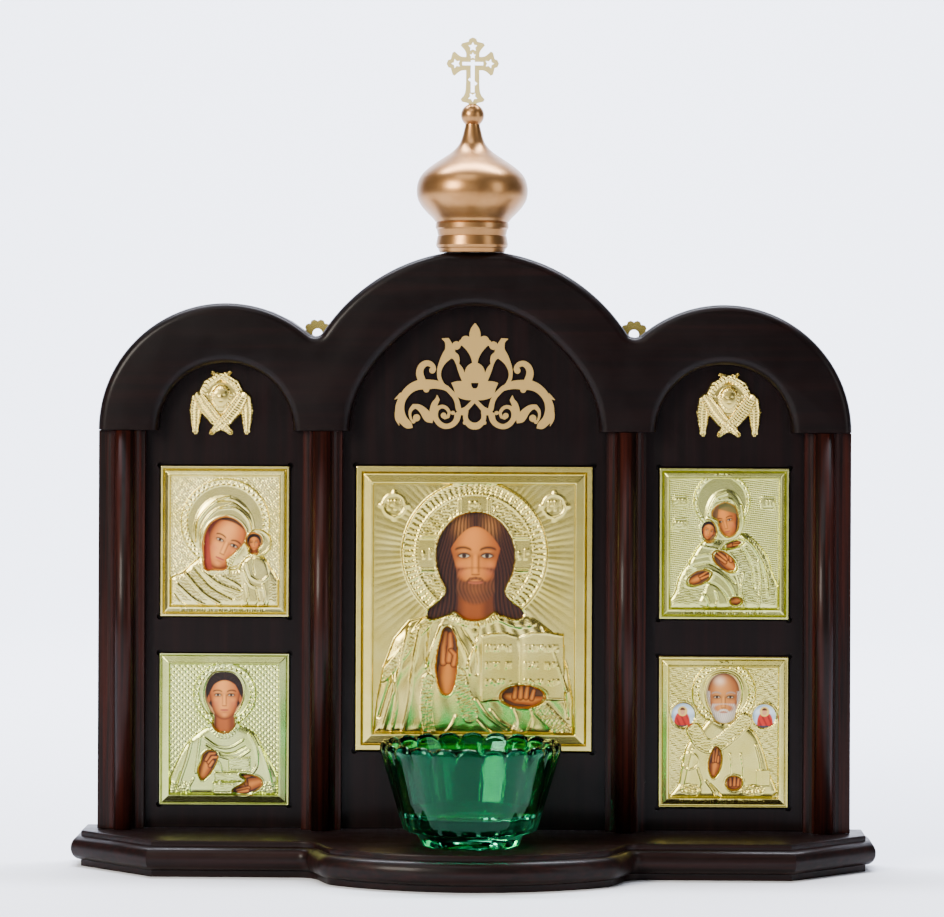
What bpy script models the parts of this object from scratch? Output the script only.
"""Three-arched home icon stand: a moulded base, a back panel with five stamped icons let into it,
a lobed arch board on four half-round uprights, a turned dome with a cut brass cross, and a pressed
glass votive cup on the bow of the base.

Lengths are metres. X runs to the right, the front faces -Y and the base stands on Z = 0. The pieces
are laid out from the front face of the back panel and hang on an empty that centres the whole.
"""

from math import atan2, cos, hypot, pi, radians, sin, sqrt

import bmesh
import bpy
from mathutils import Matrix, Vector
from mathutils.geometry import delaunay_2d_cdt

# Clearance between pieces that touch
GAP = 0.0003

# Base; its nosing stands proud of the panel's ends, and depths run forward from the panel's face
BASE_END_MARGIN = 0.0069
BASE_HEIGHT = 0.0165
NOSING_PROUD = 0.0046
FOOT_HEIGHT = 0.003
LIP_HEIGHT = 0.0025
LIP_EASE = 0.0007
END_DEPTH = 0.0103
BAY_DEPTH = 0.0467
BOW_DEPTH = 0.0928
BOW_RADIUS = 0.097
BOW_SHOULDER_RADIUS = 0.012
BOW_SHOULDER_ANGLE = radians(38.5)
BOW_FLANK_ANGLE = radians(70)
COVE_RADIUS = 0.010

# Back panel and the three lobes, struck from centres on the spring line
PANEL_WIDTH = 0.349
PANEL_THICKNESS = 0.012
SPRING_HEIGHT = 0.202
CENTRE_LOBE_RADIUS = 0.0838
SIDE_LOBE_RADIUS = 0.059
VALLEY_RADIUS = 0.0047
DOME_SEAT_DROP = 0.001

# Arch board and its three openings
BOARD_THICKNESS = 0.010
BOARD_ROUNDOVER = 0.004
CENTRE_OPENING_RADIUS = 0.058
CENTRE_OPENING_FLAT = 0.0026
SIDE_OPENING_RADIUS = 0.0314

# Uprights; the inner ones stand between the openings, a little nearer to the middle one
UPRIGHT_WIDTH = 0.0183
INNER_UPRIGHT_SHIFT = -0.00055
OUTER_UPRIGHT_MARGIN = 0.0032
UPRIGHT_FILLET_WIDTH = 0.0011
UPRIGHT_FILLET_DEPTH = 0.005
UPRIGHT_BEAD_WIDTH = 0.0086
UPRIGHT_BEAD_DEPTH = 0.0033
UPRIGHT_DEPTH = 0.0115

# Icons: stamped covers over printed cards, in pockets cut in the panel
POCKET_DEPTH = 0.004
POCKET_CLEARANCE = 0.0007
POCKET_RELIEF_RADIUS = 0.0016
CARD_THICKNESS = 0.004
FIELD_THICKNESS = 0.0011
RIM_THICKNESS = 0.0015
CREST_THICKNESS = 0.0028
CREST_STEP = 0.0005
CENTRE_ICON = {"width": 0.110, "height": 0.1324, "rim": 0.0028, "frame": 0.0084}
SMALL_ICON = {"width": 0.060, "height": 0.070, "rim": 0.0014, "frame": 0.0049}
SMALL_ICON_SHIFT = -0.0003

# How much of the free height between base and spring line is under the centre and lower icons and over
# the upper ones
CENTRE_ICON_FOOT_SHARE = 0.6894
LOWER_ICON_FOOT_SHARE = 0.2434
UPPER_ICON_HEAD_SHARE = 0.3717

# Brass on the panel: the scroll ornament, the two six-winged figures and the hangers
ORNAMENT_WIDTH = 0.0769
ORNAMENT_LIFT = 0.0006
ORNAMENT_THICKNESS = 0.001
SERAPH_HEIGHT = 0.0297
SERAPH_SHIFT = 0.0025
SERAPH_LIFT = 0.0125
SERAPH_SHEET = 0.0007
HANGER_THICKNESS = 0.001
HANGER_HOLE_LIFT = 0.0015
HANGER_HOLE_RADIUS = 0.00235
HANGER_LOBE_RADIUS = 0.0019
HANGER_LOBE_REACH = 0.0049
HANGER_TONGUE_LENGTH = 0.018
HANGER_TONGUE_WIDTH = 0.010
SCREW_HEAD_RADIUS = 0.003
SCREW_HEAD_HEIGHT = 0.0014

# Old round counterbore, half under the third upright
COUNTERBORE_SHIFT = -0.0007
COUNTERBORE_Z = 0.040
COUNTERBORE_RADIUS = 0.0102
COUNTERBORE_DEPTH = 0.0008

# Turned dome; bulb and collar are (radius, height) in hundredths of the bulb's radius and ball's height
DOME_OFF_CENTRE = -0.0016
BULB_RADIUS = 0.0259
BALL_RADIUS = 0.0054
BALL_HEIGHT = 0.0638
NECK_RADIUS = 0.0034
BULB_SHARES = ((13.5, 92.0), (19.3, 83.1), (25.1, 78.1), (37.5, 72.9), (56.8, 67.6), (77.2, 61.9),
               (91.1, 56.4), (97.7, 50.9), (100, 44.7), (97.7, 38.7), (90.7, 33.4), (79.2, 28.1),
               (71.0, 24.9), (66.4, 22.4))
COLLAR_SHARES = ((64.1, 21.8), (65.6, 21.0), (65.6, 17.7), (63.3, 16.5), (61.0, 12.1), (62.2, 11.6),
                 (64.9, 5.3), (62.9, 3.3), (61.0, 2.8), (58.3, 0))
DOME_STEPS = 20

# Cut brass cross
CROSS_ARM = 0.0122
CROSS_FOOT = 0.0204
CROSS_BAR_WIDTH = 0.0062
CROSS_TIP_SPREAD = 0.0056
CROSS_TIP_BACK = 0.0038
CROSS_THICKNESS = 0.0015
CROSS_TANG = 0.0018
CROSS_STAR_RADIUS = 0.0023
CROSS_SLOT_WIDTH = 0.0018

# Votive cup, as heights above the base's top
CUP_FORWARD = 0.055
CUP_HEIGHT = 0.0467
CUP_RIM_RADIUS = 0.0412
CUP_HEEL_RADIUS = 0.0318
CUP_HEEL_HEIGHT = 0.012
CUP_RIDGE_RADIUS = 0.0302
CUP_RIDGE_HEIGHT = 0.0070
CUP_FOOT_TOP_RADIUS = 0.0245
CUP_FOOT_RADIUS = 0.022
CUP_FOOT_RECESS = 0.002
CUP_FLOOR_HEIGHT = 0.014
CUP_WALL = 0.0034
CUP_SCALLOPS = 22
CUP_SCALLOP_HEIGHT = 0.0038
CUP_FLUTE_DEPTH = 0.0006
CUP_STEPS_PER_SCALLOP = 2

BASE_TOP_WIDTH = PANEL_WIDTH + 2 * BASE_END_MARGIN
LIP_Z = BASE_HEIGHT + GAP
SIDE_LOBE_X = PANEL_WIDTH / 2 - SIDE_LOBE_RADIUS
VALLEY_X = (SIDE_LOBE_X ** 2 + (CENTRE_LOBE_RADIUS + VALLEY_RADIUS) ** 2
            - (SIDE_LOBE_RADIUS + VALLEY_RADIUS) ** 2) / (2 * SIDE_LOBE_X)
VALLEY_RISE = sqrt((CENTRE_LOBE_RADIUS + VALLEY_RADIUS) ** 2 - VALLEY_X ** 2)
INNER_UPRIGHT_X = (CENTRE_OPENING_RADIUS + SIDE_LOBE_X - SIDE_OPENING_RADIUS) / 2 + INNER_UPRIGHT_SHIFT
OUTER_UPRIGHT_X = PANEL_WIDTH / 2 - OUTER_UPRIGHT_MARGIN - UPRIGHT_WIDTH / 2
SMALL_ICON_X = (INNER_UPRIGHT_X + OUTER_UPRIGHT_X) / 2 + SMALL_ICON_SHIFT
CENTRE_FREE_HEIGHT = SPRING_HEIGHT - LIP_Z - CENTRE_ICON["height"]
SMALL_FREE_HEIGHT = SPRING_HEIGHT - LIP_Z - 2 * SMALL_ICON["height"]
CENTRE_ICON_Z = LIP_Z + CENTRE_ICON_FOOT_SHARE * CENTRE_FREE_HEIGHT + CENTRE_ICON["height"] / 2
LOWER_ICON_Z = LIP_Z + LOWER_ICON_FOOT_SHARE * SMALL_FREE_HEIGHT + SMALL_ICON["height"] / 2
UPPER_ICON_Z = SPRING_HEIGHT - UPPER_ICON_HEAD_SHARE * SMALL_FREE_HEIGHT - SMALL_ICON["height"] / 2
HANGER_HOLE_Z = SPRING_HEIGHT + VALLEY_RISE - VALLEY_RADIUS + HANGER_HOLE_LIFT
HANGER_Y = PANEL_THICKNESS + GAP
DOME_SEAT_Z = SPRING_HEIGHT + CENTRE_LOBE_RADIUS - DOME_SEAT_DROP
DOME_Y = (PANEL_THICKNESS - BOARD_THICKNESS) / 2
FRONT_REACH = BOW_DEPTH + NOSING_PROUD
BACK_REACH = DOME_Y + BULB_RADIUS

for thing in list(bpy.data.objects):
    bpy.data.objects.remove(thing, do_unlink=True)

parts = bpy.data.collections.new("icon_stand")
cutters = bpy.data.collections.new("icon_stand_cutters")
for collection in (parts, cutters):
    bpy.context.scene.collection.children.link(collection)
cutters.hide_render = True

origin = bpy.data.objects.new("stand_origin", None)
origin.location = (0, (FRONT_REACH - BACK_REACH) / 2, 0)
parts.objects.link(origin)


def principled(name, colour, roughness, metallic=0.0, alpha=1.0):
    """A plain material with the piece's colour."""
    material = bpy.data.materials.new(name)
    material.use_nodes = True
    shader = material.node_tree.nodes["Principled BSDF"]
    shader.inputs["Base Color"].default_value = (*colour, 1)
    shader.inputs["Roughness"].default_value = roughness
    shader.inputs["Metallic"].default_value = metallic
    shader.inputs["Alpha"].default_value = alpha
    return material


LACQUER = principled("mahogany_lacquer", (0.030, 0.010, 0.008), 0.22)
GOLD_PAINT = principled("gold_paint", (0.52, 0.33, 0.17), 0.38, 0.85)
BRASS = principled("brass", (0.66, 0.55, 0.30), 0.30, 1.0)
GOLD_FOIL = principled("gold_foil", (0.66, 0.60, 0.34), 0.28, 1.0)
PRINT = principled("printed_card", (0.60, 0.35, 0.22), 0.45)
GLASS = principled("green_glass", (0.0, 0.26, 0.12), 0.05, 0.0, 0.5)
STEEL = principled("screw_steel", (0.55, 0.54, 0.50), 0.35, 1.0)


def add_object(name, bm, material, location=(0, 0, 0), collection=parts):
    """Links a bmesh as a named object under the stand's origin, shaded smooth with sharp arrises."""
    bmesh.ops.recalc_face_normals(bm, faces=bm.faces)
    mesh = bpy.data.meshes.new(name)
    bm.to_mesh(mesh)
    bm.free()
    mesh.shade_smooth()
    mesh.set_sharp_from_angle(angle=radians(35))
    if material:
        mesh.materials.append(material)
    thing = bpy.data.objects.new(name, mesh)
    thing.location = location
    thing.parent = origin
    collection.objects.link(thing)
    if collection is cutters:
        thing.hide_render = True
        thing.display_type = "WIRE"
    return thing


def cut(target, cutter):
    """Takes the cutter away from the target."""
    modifier = target.modifiers.new(cutter.name, "BOOLEAN")
    modifier.operation = "DIFFERENCE"
    modifier.object = cutter


def arc(centre, radius, start, end, steps):
    """Points on an arc, both ends included; angles run anticlockwise from +X."""
    turn = (end - start) / steps
    return [Vector((centre[0] + radius * cos(start + turn * i), centre[1] + radius * sin(start + turn * i)))
            for i in range(steps + 1)]


def circle(centre, radius, sides):
    return arc(centre, radius, 0, 2 * pi, sides)[:-1]


def oval(centre, half_width, half_height, sides, tilt=0.0):
    """A closed oval, turned by its tilt."""
    turn = Matrix.Rotation(tilt, 2)
    return [Vector(centre) + turn @ Vector((half_width * p.x, half_height * p.y))
            for p in circle((0, 0), 1, sides)]


def rectangle(half_width, half_height, centre=(0, 0)):
    return [Vector((centre[0] + sx * half_width, centre[1] + sy * half_height))
            for sx, sy in ((-1, -1), (1, -1), (1, 1), (-1, 1))]


def mirrored(points):
    """The same outline on the other side of the middle, still anticlockwise."""
    return [Vector((-p[0], p[1])) for p in reversed(points)]


def ribbon(stations):
    """The outline of a band through (x, z, width) stations: blunt ends are rounded, thin ones pointed."""
    line = [Vector(station) for station in stations]
    left, right = [], []
    for i, station in enumerate(line):
        ahead = line[min(i + 1, len(line) - 1)].xy - line[max(i - 1, 0)].xy
        side = Vector((-ahead.y, ahead.x)).normalized() * max(station.z, 0.2) / 2
        left.append(station.xy + side)
        right.append(station.xy - side)
    for row, end, other in ((left, line[-1], line[-2]), (right, line[0], line[1])):
        if end.z > 1:
            bulge = (end.xy - other.xy).normalized() * end.z / 2
            row.append(end.xy + bulge) if row is left else row.insert(0, end.xy + bulge)
    return right + left[::-1]


def scaled(points, unit):
    return [Vector(p).xy * unit for p in points]


def shift(points, offset):
    return [Vector(p).xy + Vector(offset) for p in points]


def anticlockwise(outline):
    area = sum(Vector(a).cross(Vector(b)) for a, b in zip(outline, outline[1:] + outline[:1]))
    return outline if area > 0 else outline[::-1]


def inset(outline, distance):
    """The outline moved inwards along its corners' bisectors."""
    outline = anticlockwise(outline)
    count = len(outline)
    moved = []
    for i, point in enumerate(outline):
        before = (point - outline[i - 1]).normalized()
        after = (outline[(i + 1) % count] - point).normalized()
        normal = Vector((-before.y, before.x)) + Vector((-after.y, after.x))
        if normal.length < 0.3:
            normal = Vector((-after.y, after.x))
        reach = distance / max(0.5, normal.length / 2)
        moved.append(point + normal.normalized() * reach)
    return moved


def depth_inside(point, outline):
    """How far inside the outline a point lies; negative outside."""
    nearest, within = 1e9, False
    for a, b in zip(outline, outline[1:] + outline[:1]):
        edge = b - a
        share = min(1, max(0, (point - a).dot(edge) / max(edge.length_squared, 1e-18)))
        nearest = min(nearest, (point - a - edge * share).length)
        if (a.y > point.y) != (b.y > point.y) and point.x < a.x + edge.x * (point.y - a.y) / edge.y:
            within = not within
    return nearest if within else -nearest


def raised(outline, height, ramp, foot=0.0):
    """A raised patch: lines to draw and its height at a point, sloping from its foot over the ramp."""
    inner = inset(outline, ramp)

    def height_at(point):
        depth = depth_inside(point, outline)
        return foot + (height - foot) * min(1, max(0, depth) / ramp) if depth > -1e-6 else 0

    return [outline, inner], height_at


def relief(solids, holes, lines, front):
    """A closed plate in the XZ plane: the union of the solid outlines less the holes, its back at y = 0
    and its front standing forward by front(point). The lines are drawn on it as edges."""
    drawn = [[Vector(p) * 1000 for p in anticlockwise(outline)] for outline in solids + holes + lines]
    points, faces = [], []
    for outline in drawn:
        faces.append(list(range(len(points), len(points) + len(outline))))
        points.extend(outline)
    made = delaunay_2d_cdt(points, [], faces, 1, 1e-3)
    hole_faces = set(range(len(solids), len(solids) + len(holes)))
    bm = bmesh.new()
    flat = [p / 1000 for p in made[0]]
    verts = [bm.verts.new((p.x, 0, p.y)) for p in flat]
    for corners, sources in zip(made[2], made[5]):
        if any(s < len(solids) for s in sources) and not hole_faces & set(sources):
            bm.faces.new([verts[i] for i in corners])
    bmesh.ops.delete(bm, geom=[v for v in bm.verts if not v.link_faces], context="VERTS")
    made_front = bmesh.ops.extrude_face_region(bm, geom=bm.faces[:])
    for item in made_front["geom"]:
        if isinstance(item, bmesh.types.BMVert):
            item.co.y = -front(Vector((item.co.x, item.co.z)))
    bmesh.ops.dissolve_limit(bm, angle_limit=0.001, verts=bm.verts, edges=bm.edges)
    return bm


def sheet(solids, holes, thickness):
    """A flat cut plate of even thickness."""
    return relief(solids, holes, [], lambda point: thickness)


def base_outline(out):
    """The base seen from above as (x, forward) points, its moulded edges set out by the given distance."""
    side = BASE_TOP_WIDTH / 2 + out
    chamfer_sum = BASE_TOP_WIDTH / 2 + END_DEPTH + out * sqrt(2)
    bay = BAY_DEPTH + out
    bow_centre = Vector((0, BOW_DEPTH - BOW_RADIUS))
    start, flank = BOW_SHOULDER_ANGLE, BOW_FLANK_ANGLE
    shoulder_centre = bow_centre + Vector((sin(start), cos(start))) * (BOW_RADIUS - BOW_SHOULDER_RADIUS)
    shoulder_end = shoulder_centre + Vector((sin(flank), cos(flank))) * (BOW_SHOULDER_RADIUS + out)
    cove_drop = (COVE_RADIUS - out) * (1 - cos(flank))
    cove_x = shoulder_end.x + (shoulder_end.y - bay - cove_drop) / (sin(flank) / cos(flank))
    cove_centre = Vector((cove_x + (COVE_RADIUS - out) * sin(flank), BAY_DEPTH + COVE_RADIUS))
    right = [Vector((side, -PANEL_THICKNESS)), Vector((side, chamfer_sum - side)),
             Vector((chamfer_sum - bay, bay))]
    right += arc(cove_centre, COVE_RADIUS - out, -pi / 2, -pi / 2 - flank, 4)
    right += arc(shoulder_centre, BOW_SHOULDER_RADIUS + out, pi / 2 - flank, pi / 2 - start, 3)
    bow = arc(bow_centre, BOW_RADIUS + out, pi / 2 - start, pi / 2 + start, 14)[1:-1]
    return right + bow + mirrored(right)


def moulded_base():
    """A loft through rings of the outline, one for each point of the edge moulding."""
    nose_low, nose_high = FOOT_HEIGHT, BASE_HEIGHT - LIP_HEIGHT
    profile = [(0, 0), (0, nose_low)]
    for degrees in (-72, -36, 0, 36, 72):
        angle = radians(degrees)
        profile.append((NOSING_PROUD * cos(angle),
                        (nose_low + nose_high) / 2 + (nose_high - nose_low) / 2 * sin(angle)))
    profile += [(0, nose_high), (0, BASE_HEIGHT - LIP_EASE), (-LIP_EASE, BASE_HEIGHT)]
    bm = bmesh.new()
    rings = []
    for out, height in profile:
        ring = [bm.verts.new((x, -forward, height)) for x, forward in base_outline(out)]
        rings.append([bm.edges.new((a, b)) for a, b in zip(ring, ring[1:] + ring[:1])])
        if height in (0, BASE_HEIGHT):
            bm.faces.new(ring)
    for low, high in zip(rings, rings[1:]):
        bmesh.ops.bridge_loops(bm, edges=low + high)
    return bm


def lobed_outline(bottom):
    """The three lobes, with small fillets in the valleys and a flat seat for the dome, down to a level."""
    side_end = atan2(VALLEY_RISE, VALLEY_X - SIDE_LOBE_X)
    centre_start = atan2(VALLEY_RISE, VALLEY_X)
    seat_rise = CENTRE_LOBE_RADIUS - DOME_SEAT_DROP
    seat_angle = atan2(seat_rise, sqrt(CENTRE_LOBE_RADIUS ** 2 - seat_rise ** 2))
    right = arc((SIDE_LOBE_X, 0), SIDE_LOBE_RADIUS, 0, side_end, 13)[1 if bottom == 0 else 0:]
    right += arc((VALLEY_X, VALLEY_RISE), VALLEY_RADIUS, side_end - pi, centre_start - pi, 3)[1:-1]
    right += arc((0, 0), CENTRE_LOBE_RADIUS, centre_start, seat_angle, 10)
    corner = [Vector((PANEL_WIDTH / 2, bottom))]
    outline = corner + right + mirrored(corner + right)
    return shift(outline, (0, SPRING_HEIGHT))


def centre_opening():
    """The middle arch, its haunches a little flatter than a half circle."""
    arch = []
    for p in arc((0, 0), 1, 0, pi, 22):
        reach = CENTRE_OPENING_RADIUS - CENTRE_OPENING_FLAT * (2 * p.x * p.y) ** 2
        arch.append(p * reach + Vector((0, SPRING_HEIGHT)))
    return closed_below(arch)


def side_opening(side):
    return closed_below(arc((side * SIDE_LOBE_X, SPRING_HEIGHT), SIDE_OPENING_RADIUS, 0, pi, 14))


def closed_below(arch):
    """An arch closed by a line below the spring line, so that it cuts right through the board's foot."""
    drop = Vector((0, -BOARD_THICKNESS))
    return [arch[-1] + drop, arch[0] + drop] + arch


def arch_board():
    """The lobed board with its openings, rounded over along every front arris but the feet's."""
    openings = [centre_opening(), side_opening(1), side_opening(-1)]
    bm = sheet([lobed_outline(0)], openings, BOARD_THICKNESS)
    bmesh.ops.recalc_face_normals(bm, faces=bm.faces)
    foot_z = SPRING_HEIGHT + 1e-5
    arrises = []
    for edge in bm.edges:
        ends = [v.co for v in edge.verts]
        at_front = all(co.y < -BOARD_THICKNESS / 2 for co in ends)
        if at_front and edge.calc_face_angle(0) > 1 and not all(co.z < foot_z for co in ends):
            arrises.append(edge)
    bmesh.ops.bevel(bm, geom=arrises, offset=BOARD_ROUNDOVER, affect="EDGES", segments=2, profile=0.5,
                    material=-1)
    return bm


def upright_profile(left_margin, right_margin):
    """Fillet, cove, bead, cove, fillet, as (x, forward) points; a margin widens a fillet."""
    half = UPRIGHT_WIDTH / 2
    bead = UPRIGHT_BEAD_WIDTH / 2
    cove_width = half - UPRIGHT_FILLET_WIDTH - bead
    bead_foot = UPRIGHT_DEPTH - UPRIGHT_BEAD_DEPTH
    cove_depth = bead_foot - UPRIGHT_FILLET_DEPTH
    cove = [Vector((half - UPRIGHT_FILLET_WIDTH - cove_width * p.x, bead_foot + cove_depth * p.y))
            for p in arc((0, 0), 1, -pi / 2, 0, 4)]
    left, right = ([Vector((half + margin, 0)), Vector((half + margin, UPRIGHT_FILLET_DEPTH))] + cove
                   for margin in (left_margin, right_margin))
    crown = [Vector((bead * p.x, bead_foot + UPRIGHT_BEAD_DEPTH * p.y)) for p in arc((0, 0), 1, 0, pi, 10)]
    return right + crown[1:-1] + mirrored(left)


def upright(left_margin, right_margin):
    """The moulding's section run up from the base to the board's feet."""
    bm = bmesh.new()
    section = [bm.verts.new((x, -forward, LIP_Z))
               for x, forward in upright_profile(left_margin, right_margin)]
    bm.faces.new(section)
    run = bmesh.ops.extrude_face_region(bm, geom=bm.faces[:])
    top = [v for v in run["geom"] if isinstance(v, bmesh.types.BMVert)]
    bmesh.ops.translate(bm, verts=top, vec=(0, 0, SPRING_HEIGHT - GAP - LIP_Z))
    return bm


def box(low, high):
    bm = bmesh.new()
    bmesh.ops.create_cube(bm, size=1)
    for vert in bm.verts:
        for axis in range(3):
            vert.co[axis] = high[axis] if vert.co[axis] > 0 else low[axis]
    return bm


def turned(name, profile, steps, material):
    """A solid of revolution from (radius, height) points that run down its outer side."""
    bm = bmesh.new()
    line = [bm.verts.new((radius, 0, height)) for radius, height in profile]
    for a, b in zip(line, line[1:]):
        bm.edges.new((a, b))
    thing = add_object(name, bm, material)
    screw = thing.modifiers.new("turned", "SCREW")
    screw.axis = "Z"
    screw.angle = 2 * pi
    screw.steps = steps
    screw.render_steps = steps
    screw.use_merge_vertices = True
    screw.merge_threshold = 0.00002
    screw.use_smooth_shade = True
    return thing


def star(centre, radius, points=5, turn=pi / 2):
    """A star with straight edges, its inner corners at half the radius."""
    return [Vector(centre) + Vector((cos(turn + pi * i / points), sin(turn + pi * i / points)))
            * (radius if i % 2 == 0 else radius * 0.5) for i in range(2 * points)]


def cross_end(reach):
    """One flared end of the cross, pointing up from the middle: two side tips and a rounded crown."""
    half, spread, back = CROSS_BAR_WIDTH / 2, CROSS_TIP_SPREAD, CROSS_TIP_BACK
    side = [Vector((half, 0)), Vector((half, reach - back - 0.9 * half)), Vector((spread, reach - back)),
            Vector((0.9 * spread, reach - 0.72 * back)), Vector((0.36 * spread, reach - 0.52 * back)),
            Vector((0.30 * spread, reach - 0.2 * back))]
    return side + [Vector((0, reach))] + mirrored(side)


def turned_outline(points, angle):
    turn = Matrix.Rotation(angle, 2)
    return [turn @ p for p in points]


def cut_cross():
    """The cross with its flared ends, star holes and the eight-ended cross sawn through its middle."""
    solids = [turned_outline(cross_end(CROSS_ARM), angle) for angle in (0, pi / 2, -pi / 2)]
    solids.append(turned_outline(cross_end(CROSS_FOOT), pi))
    star_at = CROSS_ARM - 2 * CROSS_STAR_RADIUS + 0.0002
    small_star = 0.72 * CROSS_STAR_RADIUS
    slot = CROSS_SLOT_WIDTH / 2
    foot_star = CROSS_FOOT - (CROSS_ARM - star_at) - 0.0004
    slot_reach = star_at - CROSS_STAR_RADIUS - 0.0006
    holes = [turned_outline(star((0, star_at), CROSS_STAR_RADIUS), angle) for angle in (0, pi / 2, -pi / 2)]
    holes.append(star((0, -foot_star), CROSS_STAR_RADIUS, turn=-pi / 2))
    holes.append(star((0, slot_reach - small_star + 0.0004), small_star))
    slot_foot = foot_star - 0.5 * CROSS_STAR_RADIUS - 0.0010
    holes.append(rectangle(slot, (slot_foot + small_star) / 2, (0, (small_star - slot_foot) / 2)))
    holes.append(rectangle(slot_reach, slot * 0.9))
    bar = turned_outline(rectangle(CROSS_BAR_WIDTH * 0.36, slot * 0.7), radians(-36))
    holes.append(shift(bar, (0, -0.62 * slot_foot)))
    return sheet(solids, holes, CROSS_THICKNESS)


def scroll_ornament():
    """The cut ornament, drawn in hundredths of its width from the middle of its foot: a bud on a bowl
    between two tall stems, with an arm and three curls on each side."""
    tall_stem = ((13.0, 21.0, 3.0), (16.1, 24.4, 2.8), (19.6, 27.2, 2.4), (21.7, 31.8, 2.2),
                 (21.6, 36.3, 2.7), (19.7, 41.0, 3.8), (16.8, 44.8, 6.2), (14.9, 48.0, 6.2),
                 (15.8, 51.4, 4.3), (17.0, 54.2, 3.2), (20.0, 55.0, 0.3))
    inner_stem = ((13.4, 45.2, 4.6), (11.4, 44.0, 4.2), (10.7, 41.8, 3.2), (10.4, 39.6, 1.8),
                  (9.0, 37.1, 3.2), (7.7, 33.7, 3.4), (5.6, 30.0, 4.4))
    arm = ((9.7, 12.0, 3.4), (10.8, 17.7, 2.9), (13.0, 21.2, 3.0), (17.0, 25.2, 3.0), (23.7, 27.4, 5.0),
           (28.4, 27.3, 6.0), (33.4, 27.2, 6.0), (37.7, 25.7, 5.4), (41.2, 22.7, 4.9), (43.9, 18.6, 4.5),
           (45.3, 14.4, 5.2), (45.3, 10.2, 5.8), (43.6, 6.0, 5.4), (40.8, 3.2, 5.2), (39.2, 2.2, 4.2))
    arm_tip = ((44.2, 21.0, 3.0), (46.5, 19.4, 1.7), (48.5, 18.2, 0.2))
    arm_leaf = ((47.0, 10.6, 2.6), (47.1, 6.4, 2.4), (45.6, 2.3, 0.2))
    upper_curl = ((32.0, 29.6, 4.6), (33.6, 34.1, 4.5), (32.6, 38.0, 4.2), (29.9, 40.2, 3.8),
                  (27.2, 40.0, 3.5), (25.2, 38.2, 3.1), (25.2, 36.2, 3.6))
    wave = ((38.2, 5.6, 1.3), (39.3, 8.8, 1.5), (38.9, 11.8, 2.2), (36.8, 14.0, 3.0), (34.2, 13.9, 3.4),
            (31.3, 11.7, 4.4), (29.1, 8.7, 5.6), (27.2, 6.2, 5.6))
    middle_leaf = ((22.8, 20.9, 0.3), (22.4, 18.4, 2.6), (24.2, 15.8, 3.8), (25.0, 12.6, 4.2),
                   (25.4, 8.0, 4.6))
    inner_curl = ((10.2, 9.4, 4.0), (10.8, 5.6, 3.6), (13.5, 2.8, 3.3), (17.4, 1.7, 3.2), (21.1, 3.2, 3.4),
                  (23.6, 6.6, 3.2), (23.8, 10.4, 3.0), (22.2, 13.2, 2.5), (19.4, 14.2, 2.3),
                  (16.8, 13.0, 2.2), (15.3, 10.4, 2.0), (16.1, 7.8, 1.9), (18.4, 7.2, 2.0))
    lower_link = ((0.3, 17.7, 2.4), (2.6, 15.2, 2.6), (5.2, 12.4, 3.0), (8.4, 10.6, 4.4))
    pear_side = ((5.2, 11.4, 2.8), (5.7, 7.6, 2.8), (4.8, 4.8, 3.4), (2.4, 2.6, 4.2), (0.0, 2.1, 4.2))
    bowl = ((0, 31.2), (5.1, 30.2), (8.0, 29.4), (11.0, 29.4), (14.2, 28.3), (12.7, 25.1), (11.7, 21.2),
            (9.6, 19.2), (5.7, 18.0), (1.2, 17.8), (0, 17.3))
    discs = ((5.6, 53.9, 3.1), (8.2, 52.6, 1.8), (11.2, 50.9, 2.7), (25.7, 35.8, 2.0), (29.3, 24.2, 1.9),
             (35.1, 7.1, 2.3), (37.0, 4.9, 1.3), (18.8, 8.6, 1.8), (13.2, 10.2, 1.3), (6.0, 4.2, 1.2))
    halves = [ribbon(line) for line in (tall_stem, inner_stem, arm, arm_tip, arm_leaf, upper_curl, wave,
                                        middle_leaf, inner_curl, lower_link, pear_side)]
    halves += [[Vector(p) for p in bowl]]
    halves += [circle((x, z), radius, 8) for x, z, radius in discs]
    bud = ribbon(((0, 64.4, 0.3), (0, 61.8, 4.6), (0, 58.6, 6.8), (0, 55.0, 6.6), (0, 52.0, 6.6)))
    funnel = ribbon(((0, 51.4, 16.6), (0, 48.4, 10.6), (0, 45.4, 6.4), (0, 42.3, 3.8), (0, 38.0, 2.8)))
    solids = halves + [mirrored(half) for half in halves] + [bud, funnel, circle((0, 34.5), 6.1, 16)]
    smile = ((2.3, 28.3), (2.0, 26.3), (1.0, 25.0), (-1.0, 25.0), (-2.0, 26.3), (-2.3, 28.3))
    unit = ORNAMENT_WIDTH / 100
    return sheet([scaled(s, unit) for s in solids], [scaled(smile, unit)], ORNAMENT_THICKNESS)


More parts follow.
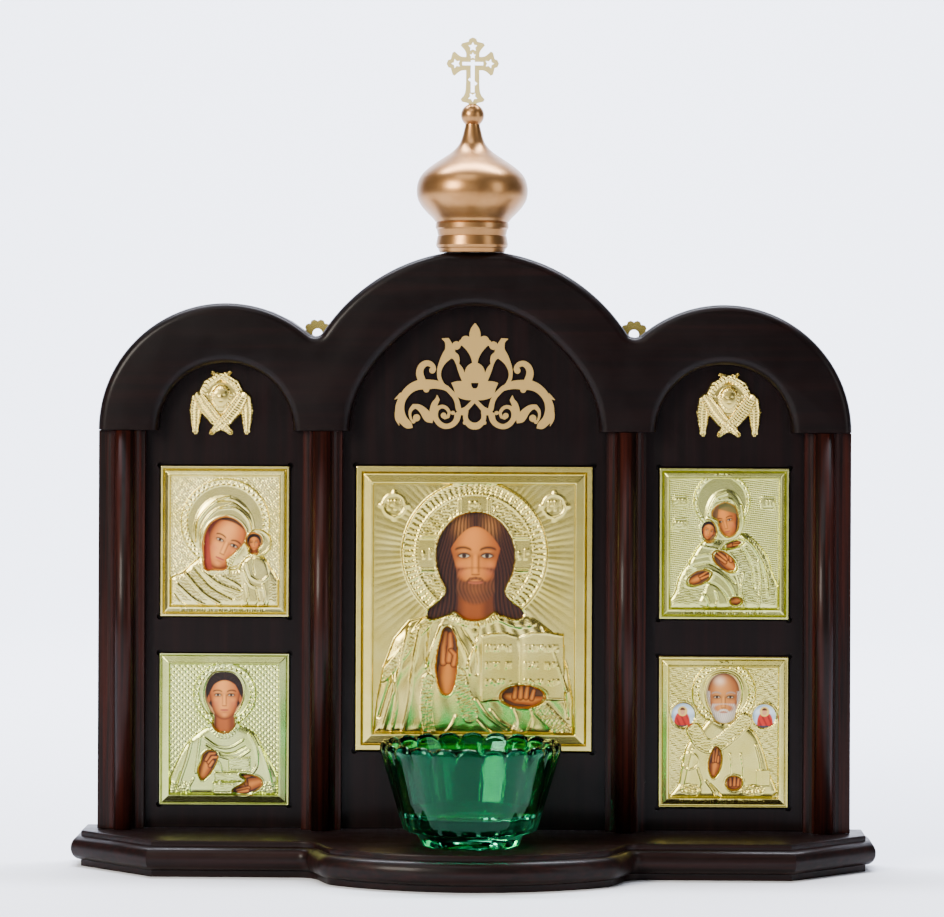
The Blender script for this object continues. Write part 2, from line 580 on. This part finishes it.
def seraph():
    """A stamped six-winged figure, drawn in hundredths of its height: two wings crossed above the face,
    two folded at the sides and two crossed below."""
    unit = SERAPH_HEIGHT / 100
    side_wing = ribbon(((34, 12, 14), (40.1, 2, 20), (40.1, -17, 19), (41.1, -34, 14), (43.1, -50, 0.8)))
    upper_wing = ribbon(((29, 18, 12), (22, 30, 15), (8, 39, 14), (-7.7, 45.4, 9), (-17.4, 50, 0.8)))
    lower_wing = ribbon(((34.8, 10.5, 18), (23.6, -7, 24), (9.3, -25, 23), (-6, -38, 17),
                         (-16.5, -49.6, 0.8)))
    layers = []
    for outline, height in ((side_wing, 0.0011), (upper_wing, 0.0014), (lower_wing, 0.0017)):
        for half in (outline, mirrored(outline)):
            layers.append((scaled(half, unit), height, 0.0007))
    layers.append((scaled(oval((0, 8), 30, 26, 12), unit), 0.0012, 0.0007))
    layers.append((scaled(oval((0, 11), 12.5, 17, 10), unit), 0.0029, 0.0014))
    patches = [raised(outline, height, ramp, SERAPH_SHEET) for outline, height, ramp in layers]
    lines = [lines[1] for lines, _ in patches]
    outlines = [lines[0] for lines, _ in patches]
    return relief(outlines, [], lines, lambda point: max(height_at(point) for _, height_at in patches))


def hanger():
    """A scalloped brass plate round a nail hole, with a tongue that is screwed to the panel's back."""
    hole = (0, HANGER_HOLE_Z)
    lobes = [circle(p + Vector(hole), HANGER_LOBE_RADIUS, 8)
             for p in arc((0, 0), HANGER_LOBE_REACH, radians(-38), radians(218), 7)]
    tongue = rectangle(HANGER_TONGUE_WIDTH / 2, HANGER_TONGUE_LENGTH / 2,
                       (0, HANGER_HOLE_Z - HANGER_TONGUE_LENGTH / 2))
    solids = lobes + [circle(hole, HANGER_LOBE_REACH, 16), tongue]
    return sheet(solids, [circle(hole, HANGER_HOLE_RADIUS, 16)], HANGER_THICKNESS)


def pocket(icon):
    """The pocket's outline, with the round reliefs that a router leaves at its corners."""
    half_width = icon["width"] / 2 + POCKET_CLEARANCE
    half_height = icon["height"] / 2 + POCKET_CLEARANCE
    outline = rectangle(half_width, half_height)
    reliefs = [circle(corner * (1 - 0.4 * POCKET_RELIEF_RADIUS / corner.length), POCKET_RELIEF_RADIUS, 6)
               for corner in outline]
    return sheet([outline] + reliefs, [], 2 * POCKET_DEPTH)


def frame_height(icon, point):
    """The cover's frame: a flat rim, a bevel that rises to a crest, then a step down to the field."""
    edge = min(icon["width"] / 2 - abs(point.x), icon["height"] / 2 - abs(point.y))
    crest = icon["frame"] - CREST_STEP
    if edge < crest:
        rise = max(0, edge - icon["rim"]) / (crest - icon["rim"])
        return RIM_THICKNESS + (CREST_THICKNESS - RIM_THICKNESS) * rise
    return CREST_THICKNESS + (FIELD_THICKNESS - CREST_THICKNESS) * min(1, (edge - crest) / CREST_STEP)


def stamped_cover(icon, layers, openings):
    """A stamped cover: the frame and field, with raised layers drawn in hundredths of the height."""
    unit = icon["height"] / 100
    half_width, half_height = icon["width"] / 2, icon["height"] / 2
    outer, rim, crest, field = (rectangle(half_width - edge, half_height - edge)
                                for edge in (0, icon["rim"], icon["frame"] - CREST_STEP, icon["frame"]))
    reach = Vector((half_width - icon["frame"], half_height - icon["frame"])) * 0.995

    def within_field(outline):
        return [Vector((min(max(p.x, -reach.x), reach.x), min(max(p.y, -reach.y), reach.y)))
                for p in scaled(outline, unit)]

    patches = [raised(within_field(outline), rise, ramp * unit) for outline, rise, ramp in layers]
    lines = [rim, crest, field] + [line for drawn, _ in patches for line in drawn]

    def front(point):
        rise = max([0] + [height_at(point) for _, height_at in patches])
        return max(frame_height(icon, point), FIELD_THICKNESS + rise)

    return relief([outer], [scaled(o, unit) for o in openings], lines, front)


def robe(left, right, neck, bottom, foot_left, foot_right):
    """A robed bust, as its outline: from the neck down over both shoulders to the foot of the field."""
    def shoulder(reach, foot):
        return [Vector((reach * 0.62, neck[1] - 4)), Vector((reach, neck[1] - 16)), Vector((foot, bottom))]

    return [Vector((neck[0] - 7, neck[1])), *shoulder(left, foot_left),
            *reversed(shoulder(right, foot_right)), Vector((neck[0] + 7, neck[1]))]


def centre_cover():
    """A robed half figure with a haloed head, a raised hand and an open book."""
    halo = circle((0.2, 19.4), 25.8, 24)
    hair = oval((0.5, 15.4), 14.0, 18.4, 16)
    body = robe(-30, 31, (0.5, 3.0), -43.6, -35, 35)
    book = [Vector(p) for p in ((1.3, -9.5), (1.3, -31.5), (31.8, -31.5), (31.8, -7.4), (17, -9.5))]
    raised_hand = oval((-9.3, -18.2), 3.3, 11.2, 12)
    lower_hand = oval((17.2, -30.6), 7.2, 3.6, 12)
    crown = oval((0.5, 15.4), 16.4, 20.9, 16)
    layers = [(halo, 0.0009, 1.2), (inset(halo, 5.2), 0.0014, 1.0), (crown, 0.0017, 1.2),
              (body, 0.0022, 5.0), (book, 0.0030, 1.2)]
    return stamped_cover(CENTRE_ICON, layers, [hair, raised_hand, lower_hand])


def mother_cover(halo_at, halo_radius, body, child_at, child_radius, child_body, openings):
    """A veiled mother with a halo, holding a child with a smaller halo."""
    veil = oval((halo_at[0], halo_at[1] - 0.24 * halo_radius), 0.68 * halo_radius, 0.82 * halo_radius, 16)
    layers = [(circle(halo_at, halo_radius, 20), 0.0008, 1.4), (veil, 0.0014, 3.0), (body, 0.0015, 6.0),
              (circle(child_at, child_radius, 12), 0.0019, 1.2), (child_body, 0.0024, 4.0)]
    return stamped_cover(SMALL_ICON, layers, openings)


def saint_cover(openings):
    """A haloed saint, frontal, with openings for the head and for two hands before the robe."""
    halo_at = (0.2, 25.0)
    body = robe(-28, 29, (0.3, 6.0), -42.5, -33, 34)
    layers = [(circle(halo_at, 21.4, 20), 0.0009, 1.4), (circle(halo_at, 16.0, 16), 0.0013, 1.2),
              (body, 0.0018, 6.0)]
    return stamped_cover(SMALL_ICON, layers, openings)


def cup_profile():
    """The cup's section as (radius, height) points, from the middle of its floor over the rim to the
    middle of its underside."""
    rim_low = CUP_HEIGHT - CUP_SCALLOP_HEIGHT
    inner_heel = CUP_HEEL_RADIUS - CUP_WALL
    return [(0, CUP_FLOOR_HEIGHT), (inner_heel, CUP_FLOOR_HEIGHT + 0.0010),
            (CUP_RIM_RADIUS - CUP_WALL, rim_low), (CUP_RIM_RADIUS - 0.75 * CUP_WALL, CUP_HEIGHT),
            (CUP_RIM_RADIUS - 0.25 * CUP_WALL, CUP_HEIGHT), (CUP_RIM_RADIUS, rim_low),
            (CUP_HEEL_RADIUS, CUP_HEEL_HEIGHT),
            (CUP_RIDGE_RADIUS, CUP_RIDGE_HEIGHT), (CUP_FOOT_TOP_RADIUS, CUP_RIDGE_HEIGHT - 0.0006),
            (CUP_FOOT_RADIUS, 0), (CUP_FOOT_RADIUS - CUP_WALL, 0), (0, CUP_FOOT_RECESS)]


def glass_cup():
    """The section spun round, then its rim drawn down between the scallops and its side fluted."""
    bm = bmesh.new()
    line = [bm.verts.new((radius, 0, height)) for radius, height in cup_profile()]
    edges = [bm.edges.new((a, b)) for a, b in zip(line, line[1:])]
    bmesh.ops.spin(bm, geom=line + edges, cent=(0, 0, 0), axis=(0, 0, 1), angle=2 * pi,
                   steps=CUP_SCALLOPS * CUP_STEPS_PER_SCALLOP, use_merge=True)
    bmesh.ops.remove_doubles(bm, verts=bm.verts, dist=0.00002)
    rim_low = CUP_HEIGHT - CUP_SCALLOP_HEIGHT
    for vert in bm.verts:
        radius = hypot(vert.co.x, vert.co.y)
        if radius < 1e-6:
            continue
        phase = (atan2(vert.co.y, vert.co.x) / (2 * pi) * CUP_SCALLOPS) % 1
        swell = sqrt(max(0, 1 - (2 * phase - 1) ** 2))
        outside = radius > CUP_RIM_RADIUS - CUP_WALL / 2 or vert.co.z < CUP_FLOOR_HEIGHT
        if vert.co.z > rim_low + 1e-5:
            vert.co.z = rim_low + CUP_SCALLOP_HEIGHT * (0.12 + 0.88 * swell)
        elif outside and vert.co.z > CUP_HEEL_HEIGHT - 1e-5:
            reach = 1 - CUP_FLUTE_DEPTH * (1 - swell) / radius
            vert.co.x *= reach
            vert.co.y *= reach
    return bm


def round_pin(radius, end_radius, start, end, sides):
    """A round of one radius at y = start and another at y = end."""
    bm = bmesh.new()
    bmesh.ops.create_cone(bm, cap_ends=True, segments=sides, radius1=radius, radius2=end_radius,
                          depth=end - start)
    bmesh.ops.rotate(bm, verts=bm.verts, cent=(0, 0, 0), matrix=Matrix.Rotation(-pi / 2, 3, "X"))
    bmesh.ops.translate(bm, verts=bm.verts, vec=(0, (start + end) / 2, 0))
    return bm


# Base and case
add_object("base", moulded_base(), LACQUER)
panel = add_object("back_panel", sheet([lobed_outline(LIP_Z - SPRING_HEIGHT)], [], PANEL_THICKNESS), LACQUER,
                   (0, PANEL_THICKNESS, 0))
add_object("arch_board", arch_board(), LACQUER, (0, -GAP, 0))

for number, x, left_margin, right_margin in ((1, -OUTER_UPRIGHT_X, OUTER_UPRIGHT_MARGIN, 0),
                                             (2, -INNER_UPRIGHT_X, 0, 0), (3, INNER_UPRIGHT_X, 0, 0),
                                             (4, OUTER_UPRIGHT_X, 0, OUTER_UPRIGHT_MARGIN)):
    add_object(f"upright_{number}", upright(left_margin, right_margin), LACQUER, (x, -GAP, 0))

counterbore = round_pin(COUNTERBORE_RADIUS, COUNTERBORE_RADIUS, -COUNTERBORE_DEPTH, COUNTERBORE_DEPTH, 24)
counterbore_at = (INNER_UPRIGHT_X + COUNTERBORE_SHIFT, 0, COUNTERBORE_Z)
cut(panel, add_object("counterbore_cutter", counterbore, None, counterbore_at, cutters))

# Icons in their pockets
upper_left = mother_cover((0.4, 12.0), 29.6, robe(-33, 33, (0.4, -12.0), -42.5, -34, 34), (22.4, -0.9), 8.8,
                          oval((19.4, -26.0), 10.4, 16.0, 10),
                          [oval((-0.3, -0.7), 12.4, 16.6, 16, radians(-14)),
                           oval((19.4, -1.2), 4.6, 6.2, 10)])
upper_right = mother_cover((-1.4, 28.0), 19.0, robe(-29, 28, (-0.6, 8.0), -42.5, -32, 32), (-10.2, 9.0), 8.2,
                           oval((-7.0, -14.0), 10.0, 20.0, 10),
                           [oval((0.6, 16.6), 8.4, 10.8, 14, radians(8)), oval((-10.6, 8.6), 4.6, 6.2, 10),
                            oval((0.4, -11.6), 8.0, 4.4, 10, radians(-38)),
                            oval((-16.4, -22.6), 7.2, 3.8, 10, radians(24)),
                            oval((7.9, -38.0), 3.2, 2.4, 8)])
lower_left = saint_cover([oval((0.2, 18.0), 12.4, 18.5, 14), oval((-10.5, -24.0), 5.2, 8.9, 10, radians(-24)),
                          oval((16.0, -36.6), 9.2, 4.8, 10, radians(14))])
lower_right = saint_cover([oval((0.2, 22.6), 11.4, 16.4, 14), oval((-5.6, -20.2), 3.8, 9.2, 12),
                           oval((7.2, -33.6), 5.0, 4.2, 10), circle((-26.7, 11.4), 7.8, 12),
                           circle((27.0, 10.8), 7.8, 12)])
icons = {
    "icon_centre": (CENTRE_ICON, 0, CENTRE_ICON_Z, centre_cover()),
    "icon_upper_left": (SMALL_ICON, -SMALL_ICON_X, UPPER_ICON_Z, upper_left),
    "icon_upper_right": (SMALL_ICON, SMALL_ICON_X, UPPER_ICON_Z, upper_right),
    "icon_lower_left": (SMALL_ICON, -SMALL_ICON_X, LOWER_ICON_Z, lower_left),
    "icon_lower_right": (SMALL_ICON, SMALL_ICON_X, LOWER_ICON_Z, lower_right),
}
for name, (icon, x, z, cover) in icons.items():
    cut(panel, add_object(f"{name}_pocket_cutter", pocket(icon), None, (x, POCKET_DEPTH, z), cutters))
    card_back = POCKET_DEPTH - GAP
    half_width, half_height = icon["width"] / 2, icon["height"] / 2
    card = box((-half_width, -CARD_THICKNESS, -half_height), (half_width, 0, half_height))
    add_object(f"{name}_card", card, PRINT, (x, card_back, z))
    add_object(f"{name}_cover", cover, GOLD_FOIL, (x, card_back - CARD_THICKNESS - GAP, z))

# Brass on the panel
add_object("scroll_ornament", scroll_ornament(), BRASS, (0, -GAP, SPRING_HEIGHT + ORNAMENT_LIFT))
for side, word in ((-1, "left"), (1, "right")):
    seraph_at = (side * (SIDE_LOBE_X + SERAPH_SHIFT), -GAP, SPRING_HEIGHT + SERAPH_LIFT)
    add_object(f"seraph_{word}", seraph(), BRASS, seraph_at)

# Hangers behind the valleys
screw_z = HANGER_HOLE_Z - HANGER_TONGUE_LENGTH + HANGER_TONGUE_WIDTH / 2
for side, word in ((-1, "left"), (1, "right")):
    screw_head = round_pin(SCREW_HEAD_RADIUS, 0.55 * SCREW_HEAD_RADIUS, 0, SCREW_HEAD_HEIGHT, 12)
    add_object(f"hanger_{word}", hanger(), BRASS, (side * VALLEY_X, HANGER_Y + HANGER_THICKNESS, 0))
    add_object(f"hanger_screw_{word}", screw_head, STEEL,
               (side * VALLEY_X, HANGER_Y + HANGER_THICKNESS + GAP, screw_z))

# Dome and cross
neck_angle = atan2(-sqrt(BALL_RADIUS ** 2 - NECK_RADIUS ** 2), NECK_RADIUS)
ball = arc((0, BALL_HEIGHT), BALL_RADIUS, pi / 2, neck_angle, 6)
turnings = [(radius / 100 * BULB_RADIUS, height / 100 * BALL_HEIGHT)
            for radius, height in BULB_SHARES + COLLAR_SHARES]
dome_profile = [(max(p.x, 0), p.y) for p in ball] + turnings + [(0, 0)]
dome = turned("dome", dome_profile, DOME_STEPS, GOLD_PAINT)
dome.location = (DOME_OFF_CENTRE, DOME_Y, DOME_SEAT_Z + GAP)
cross_z = DOME_SEAT_Z + GAP + BALL_HEIGHT + BALL_RADIUS - CROSS_TANG + CROSS_FOOT
cross_y = DOME_Y + CROSS_THICKNESS / 2
add_object("cross", cut_cross(), BRASS, (DOME_OFF_CENTRE, cross_y, cross_z))
slot_half = (0.5 * CROSS_BAR_WIDTH + GAP, CROSS_THICKNESS / 2 + GAP)
slot = box((-slot_half[0], -slot_half[1], -CROSS_TANG - GAP), (slot_half[0], slot_half[1], BALL_RADIUS))
slot_z = DOME_SEAT_Z + GAP + BALL_HEIGHT + BALL_RADIUS
cut(dome, add_object("cross_slot_cutter", slot, None, (DOME_OFF_CENTRE, DOME_Y, slot_z), cutters))

# Votive cup on the bow
add_object("glass_cup", glass_cup(), GLASS, (0, -CUP_FORWARD, LIP_Z))
